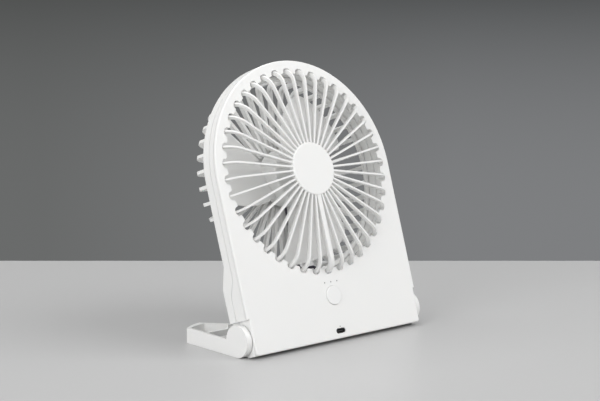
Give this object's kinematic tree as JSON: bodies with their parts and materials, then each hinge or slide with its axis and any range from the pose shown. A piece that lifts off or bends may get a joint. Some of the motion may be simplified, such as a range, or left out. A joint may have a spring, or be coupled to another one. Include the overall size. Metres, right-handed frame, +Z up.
{
  "type": "desk fan",
  "caption": "Flat arch-shaped rechargeable desk fan with round slatted grilles, spinning impeller, push button and a folding stand that leans it back.",
  "frame": {"origin": "centre of the bounding box at table level, under the fan as it stands unfolded", "axes": "+X to the right for someone facing the front of the fan; +Y away from them, through the fan; +Z up"},
  "size_m": [0.1766, 0.0989, 0.2074],
  "materials": {
    "shell_white": "satin moulded ABS",
    "grille_white": "satin moulded ABS",
    "impeller_white": "satin moulded ABS",
    "stand_white": "satin moulded ABS",
    "button_white": "fine satin",
    "inner_black": "matt",
    "inner_white": "matt",
    "steel": "plain",
    "dark_steel": "blackened",
    "magnet": "sintered ferrite",
    "laminations": "stacked sheet",
    "copper": "enamelled winding wire",
    "board_green": "solder mask",
    "cell_foil": "crinkled pouch foil",
    "lead_sheath": "soft sheath",
    "light_clear": "clear light guide",
    "pad_rubber": "matt",
    "nylon": "natural nylon"
  },
  "bodies": {
    "housing": {"front_cover": "shell_white", "middle_frame": "shell_white", "rear_shell": "shell_white", "rear_grille": "grille_white", "bearing_tube": "steel", "front_bearing": "dark_steel", "rear_bearing": "dark_steel", "motor_screws": "dark_steel", "stator_core": "laminations", "stator_coils": "copper", "motor_board": "board_green", "motor_lead": "lead_sheath", "motor_plug": "inner_white", "control_board": "board_green", "battery_tray": "inner_black", "board_screws": "dark_steel", "battery_cell_left": "cell_foil", "battery_cell_right": "cell_foil", "usb_c_socket": "dark_steel", "button_switch": "inner_black", "indicator_lights": "light_clear", "charge_light": "light_clear", "housing_screws": "dark_steel", "hinge_bushes": "nylon"},
    "rotor": {"impeller": "impeller_white", "rotor_can": "steel", "magnet_ring": "magnet", "rotor_shaft": "steel", "shaft_clip": "dark_steel"},
    "button": {"power_button": "button_white"},
    "stand": {"stand_frame": "stand_white", "hinge_pins": "steel", "friction_washers": "nylon", "hinge_clips": "dark_steel", "stand_pads": "pad_rubber"}
  },
  "joints": [
    {"name": "stand_fold", "type": "hinge", "parent": "housing", "child": "stand", "pos_m": [0, -0.03274, 0.0118], "axis": [1, 0, 0], "range_deg": [0, 67]},
    {"name": "impeller_spin", "type": "hinge", "parent": "housing", "child": "rotor", "pos_m": [0, -0.00994, 0.1259], "axis": [0, 0.9511, -0.309], "continuous": true},
    {"name": "button_press", "type": "slide", "parent": "housing", "child": "button", "axis": [0, 0.9511, -0.309], "range_m": [0, 0.0008], "stiffness_N_per_m": 1500}
  ]
}
